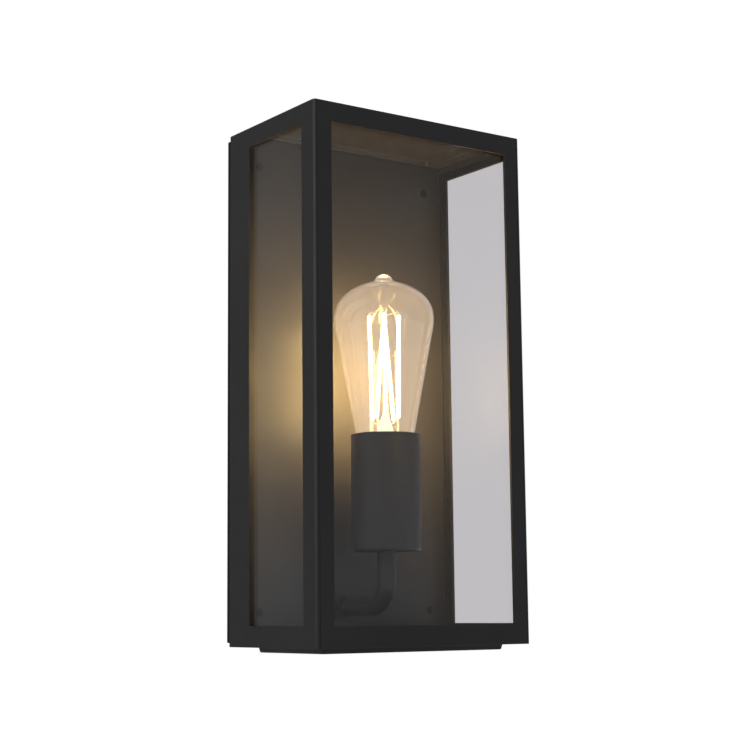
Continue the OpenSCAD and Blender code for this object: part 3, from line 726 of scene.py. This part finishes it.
def lamp_glass():
    """The bulb: a short neck, a flare, a cone, a round shoulder and a drawn tip."""
    _, bulb_r = span("lamp_glass")
    widest, flank = tip - 29, tip - 42
    mouth_r, flank_r = 18.6, 0.945 * bulb_r
    outline = [(neck_r, cap_top - 6.5), (neck_r, cap_top - 3), (neck_r, cap_top)]
    outline += curve((neck_r, cap_top), (neck_r + 2.2, cap_top + 2.5), (mouth_r - 1.3, mouth - 5.5),
                     (mouth_r, mouth), 12)
    outline += [(mouth_r + (flank_r - mouth_r) * i / 8, mouth + (flank - mouth) * i / 8)
                for i in range(1, 9)]
    outline += curve((flank_r, flank), (flank_r + 0.9, flank + 4.7), (bulb_r, widest - 6),
                     (bulb_r, widest), 10)
    outline += curve((bulb_r, widest), (bulb_r, widest + 10.2), (bulb_r * 0.8, tip - 12.2),
                     (bulb_r * 0.5, tip - 8), 18)
    inner = []
    for i, (r, z) in enumerate(outline):
        before, after = Vector(outline[max(i - 1, 0)]), Vector(outline[min(i + 1, len(outline) - 1)])
        ahead = (after - before).normalized()
        inner.append((r - wall * ahead.y, z + wall * ahead.x))
    inner += [(bulb_r * 0.3, tip - 7.6), (4.5, tip - 6.9), (0, tip - 6.5)]
    outline += curve((bulb_r * 0.5, tip - 8), (bulb_r * 0.4, tip - 6.8), (8.6, tip - 5.8),
                     (6.6, tip - 4.4), 8)
    outline += curve((6.6, tip - 4.4), (5.3, tip - 3.4), (4.9, tip - 1.1), (2.6, tip - 0.3), 8)
    outline += [(1.3, tip - 0.07), (0, tip)]
    return turned(outline[::-1] + inner, axis, "lamp_glass", 128, smooth=60)


def lamp_stem():
    """The glass stem: a wide foot in the neck, a thin rod and a button at its top."""
    rows = [(0, cap_top - 5.8), (neck_r - wall - 0.1, cap_top - 6), (neck_r - wall - 0.4, cap_top - 4.8)]
    rows += curve(rows[-1], (7.2, cap_top - 1.5), (6.3, cap_top + 1), (6.1, cap_top + 4), 8)
    rows += curve((6.1, cap_top + 4), (5.9, mouth - 1), (5.2, mouth + 4), (3.1, mouth + 9), 8)
    rows += curve((3.1, mouth + 9), (2, mouth + 11.5), (1.3, mouth + 13), (1.2, mouth + 16), 6)
    rows += [(1.15, stem_top - 5)]
    rows += curve((1.15, stem_top - 5), (1.15, stem_top - 3), (2, stem_top - 3), (2, stem_top - 1), 6)
    rows += curve((2, stem_top - 1), (2, stem_top + 0.6), (1.2, stem_top + 1), (0, stem_top + 1), 5)
    return turned(rows, axis, "lamp_stem", 64, smooth=60)


def lamp_cap():
    """The screw cap: a rolled thread with a plain skirt above it."""
    h, _ = span("lamp_cap")
    thread_end = h - 4
    rows = [(11.4, 0.1), (11.7, 0)] + thread(12.6, 0.4, thread_end, cap_low.z / MM)[1:]
    rows += [(13.15, thread_end + 0.5), (13.2, thread_end + 0.9), (13.2, h - 0.5), (13.05, h - 0.1),
             (12.8, h), (11.5, h), (11.4, h - 0.2)]
    return turned(rows, foot_of("lamp_cap"), "lamp_cap", 96, smooth=60, closed=True)


def lamp_insulator():
    """The dark glass cone under the cap."""
    h, r = span("lamp_insulator")
    rows = [(0, 0), (5.2, 0), (5.6, 0.2), (r - 1.2, h * 0.62), (r - 0.2, h * 0.82), (r, h), (0, h)]
    return turned(rows, foot_of("lamp_insulator"), "lamp_insulator", 64)


def lamp_contact():
    """The low dome of the foot contact."""
    rows = [(0, 0), (2.2, 0.05), (3.3, 0.2), (3.9, 0.45), (4.7, 0.85), (4.8, 1), (0, 1)]
    return turned(rows, foot_of("lamp_contact"), "lamp_contact", 48)


def strip_ends():
    """The lower and upper ends of the four light strips, in metres; each strip leans round the axis."""
    pairs = []
    for i in range(4):
        pair = []
        for r, z, twist in ((10, strip_low, 0), (9.5, strip_high, 35)):
            a = math.radians(90 * i + 20 + twist)
            pair.append(Vector((r * math.cos(a), axis.y / MM + r * math.sin(a), z)) * MM)
        pairs.append(pair)
    return pairs


def lamp_filaments():
    """The light strips: round rods, a little narrower at each end."""
    strips = []
    for foot, head in strip_ends():
        along = head - foot
        stops = (0.03, 0.034, 0.04, 0.5, 0.96, 0.966, 0.97)
        strip = tube([foot.lerp(head, s) for s in stops], 1.1 * MM, "strip", 20)
        for v in strip.vertices:
            s = (v.co - foot).dot(along) / along.length_squared
            if s < 0.033 or s > 0.967:
                on_line = foot + along * s
                v.co = on_line + (v.co - on_line) * 0.75
        strips.append(strip)
    return joined(strips, "lamp_filaments")


def lamp_wires():
    """A curved wire from the stem to each end of each strip, and a small sleeve on the strip's end."""
    wires = []
    for foot, head in strip_ends():
        for end, far, hub_z, hub_r in ((foot, head, mouth + 4, 2.6), (head, foot, strip_high - 2, 1.2)):
            hub = axis + Vector((0, 0, hub_z * MM))
            out = Vector((end.x, end.y - axis.y, 0)).normalized()
            lift = Vector((0, 0, (end.z - hub.z) * 0.1))
            inward = (far - end).normalized()
            start = hub + out * hub_r * MM
            bow = hub + 0.45 * (end - hub) + lift
            arc = curve(start, bow, end - 2.2 * MM * out, end - 0.4 * MM * out, 8)
            points = [start] + [Vector(p) for p in arc]
            points += [end + inward * d * MM for d in (0.4, 1.2)]
            wires.append(tube(points, 0.3 * MM, "wire", 10))
            sleeve = [end + inward * d * MM for d in (0.6, 0.8, 2.5, 2.7)]
            wires.append(tube(sleeve, 0.62 * MM, "sleeve", 8))
    return joined(wires, "lamp_wires")


add_piece("lamp_glass", lamp_glass(), "lamp", "lamp_glass")
add_piece("lamp_stem", lamp_stem(), "lamp", "stem_glass")
add_piece("lamp_cap", lamp_cap(), "lamp", "zinc_steel")
add_piece("lamp_insulator", lamp_insulator(), "lamp_foot", "lamp_insulator")
add_piece("lamp_contact", lamp_contact(), "lamp_foot", "zinc_steel")
add_piece("lamp_filaments", lamp_filaments(), "lamp", "lamp_filament")
add_piece("lamp_wires", lamp_wires(), "lamp", "zinc_steel")


# ---- CAD nodes that keep their shape ----

for name, node in frame["nodes"].items():
    if name not in STANDS_FOR:
        node.data.materials.clear()
        node.data.materials.append(MATERIALS[SLOT_OF[name]])


# ---- Stage and light ----

WHITE = (1, 1, 1)
THROUGH_GLASS = 0.66  # brightness of the backdrop where glass shows it
ROOM = 0.24           # brightness of the room round the lantern
middle = (cad_low + cad_high) / 2


def stage_floor(z, size):
    """A pale floor far below the lantern: plain white to the camera, greyer where glass shows it."""
    mesh = bpy.data.meshes.new("floor")
    h = size / 2
    mesh.from_pydata([(-h, -h, z), (h, -h, z), (h, h, z), (-h, h, z)], [], [(0, 1, 2, 3)])
    m = material_nodes("pale_floor")
    ray = m.add("ShaderNodeLightPath").outputs
    grey = m.spread(ray["Is Transmission Ray"], ROOM, THROUGH_GLASS, 0, 1)
    strength = m.spread(ray["Is Camera Ray"], grey, 1.0, 0, 1)
    seen = m.add("ShaderNodeEmission", {"Color": (*WHITE, 1), "Strength": strength}).outputs[0]
    pale = m.principled(Base_Color=(0.8, 0.8, 0.8, 1), Roughness=0.8)
    mesh.materials.append(m.surface(m.blend(ray["Is Diffuse Ray"], seen, pale)))
    floor = bpy.data.objects.new("floor", mesh)
    bpy.context.scene.collection.objects.link(floor)


def studio_world():
    """A white backdrop, greyer where glass shows it, in a dim room that lights the lantern."""
    w = Nodes(bpy.data.worlds.new("studio"), "ShaderNodeOutputWorld")
    ray = w.add("ShaderNodeLightPath").outputs
    bounces = w.combine("ADD", ray["Diffuse Depth"], ray["Glossy Depth"])
    unbounced = w.combine("LESS_THAN", bounces, 0.5)
    straight = w.combine("MULTIPLY", ray["Is Transmission Ray"], unbounced)
    room = w.background((0.97, 0.98, 1.0), ROOM)
    behind_glass = w.background((0.99, 0.98, 1.0), THROUGH_GLASS)
    backdrop = w.background(WHITE, 1.0)
    unseen = w.blend(straight, room, behind_glass)
    bpy.context.scene.world = w.surface(w.blend(ray["Is Camera Ray"], unseen, backdrop))


def add_light(name, kind, position, power, colour):
    """A light that is itself unseen, also through glass."""
    data = bpy.data.lights.new(name, kind)
    data.energy = power
    data.color = colour
    light = bpy.data.objects.new(name, data)
    bpy.context.scene.collection.objects.link(light)
    light.location = position
    light.visible_camera = light.visible_transmission = False
    return light


def soft_light(name, position, size, power, colour=WHITE, mirrored=True):
    """A rectangular studio light that faces the middle of the lantern."""
    light = add_light(name, "AREA", position, power, colour)
    light.data.shape = "RECTANGLE"
    light.data.size, light.data.size_y = size
    light.rotation_euler = (middle - Vector(position)).to_track_quat("-Z", "Y").to_euler()
    light.visible_glossy = mirrored


def lamp_light(power, radius, colour):
    """The warm light that the strips throw on the lantern."""
    light = add_light("glow", "POINT", mid("lamp_filaments"), power, colour)
    light.data.shadow_soft_size = radius
    light.visible_glossy = False


stage_floor(cad_low.z - 0.6, size=30)
studio_world()
soft_light("key", (-1.9, -0.8, 0.7), (1.2, 1.4), 10)
soft_light("side", (-1.8, 0.5, 0.4), (0.8, 1.6), 2.5)
soft_light("right", (1.7, -0.8, 0.1), (0.8, 1.2), 13, (0.88, 0.93, 1.0), mirrored=False)
soft_light("top", (0.4, 0.3, 2.0), (1.4, 1.4), 6)
soft_light("rear", (1.3, 1.7, 0.5), (1.2, 1.2), 6)
lamp_light(1.8, 12 * MM, (1.0, 0.61, 0.18))
